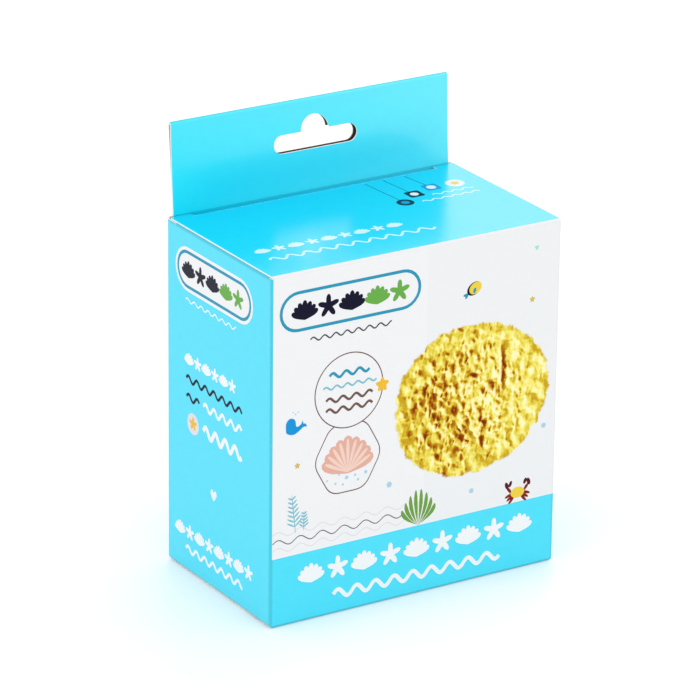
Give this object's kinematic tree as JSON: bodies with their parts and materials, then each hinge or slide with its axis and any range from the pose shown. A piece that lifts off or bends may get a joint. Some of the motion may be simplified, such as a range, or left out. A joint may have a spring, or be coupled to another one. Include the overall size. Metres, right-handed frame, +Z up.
{
  "type": "hang-tab folding carton",
  "caption": "Upright rectangular folding carton of thin printed board with a hinged tuck lid and a double hang tab slotted for a display hook.",
  "frame": {"origin": "middle of the base, on the surface that the carton stands on", "axes": "+Z up, towards the hang tab; -Y towards the front panel; +X to the right as the front is seen"},
  "size_m": [0.11, 0.0685, 0.1525],
  "materials": {
    "white_print": "white coated board, printed and gloss laminated",
    "aqua_print": "coated board printed aqua and gloss laminated",
    "bare_board": "uncoated matt board, unprinted"
  },
  "bodies": {
    "carton": {"front_panel": "white_print", "back_panel": "aqua_print", "left_side_panel": "aqua_print", "right_side_panel": "aqua_print", "glue_flap": "bare_board", "hang_tab_back_ply": "aqua_print", "hang_tab_front_ply": "aqua_print", "bottom_outer_flap": "aqua_print", "bottom_inner_flap": "bare_board", "bottom_left_dust_flap": "bare_board", "bottom_right_dust_flap": "bare_board"},
    "lid": {"lid_panel": "aqua_print"},
    "tuck": {"tuck_flap": "aqua_print"},
    "left_dust": {"top_left_dust_flap": "bare_board"},
    "right_dust": {"top_right_dust_flap": "bare_board"}
  },
  "joints": [
    {"name": "lid_hinge", "type": "hinge", "parent": "carton", "child": "lid", "pos_m": [0, -0.033, 0.121], "axis": [1, 0, 0], "range_deg": [0, 180]},
    {"name": "tuck_crease", "type": "hinge", "parent": "lid", "child": "tuck", "pos_m": [0, 0.029, 0.121], "axis": [1, 0, 0], "range_deg": [0, 36]},
    {"name": "left_dust_crease", "type": "hinge", "parent": "carton", "child": "left_dust", "pos_m": [-0.055, 0, 0.1204], "axis": [0, -1, 0], "range_deg": [0, 60]},
    {"name": "right_dust_crease", "type": "hinge", "parent": "carton", "child": "right_dust", "pos_m": [0.055, 0, 0.1204], "axis": [0, 1, 0], "range_deg": [0, 60]}
  ],
  "couplings": [
    {"joint": "tuck_crease", "follows": "lid_hinge", "ratio": 0.2},
    {"joint": "left_dust_crease", "follows": "lid_hinge", "ratio": 0.3333},
    {"joint": "right_dust_crease", "follows": "lid_hinge", "ratio": 0.3333}
  ]
}
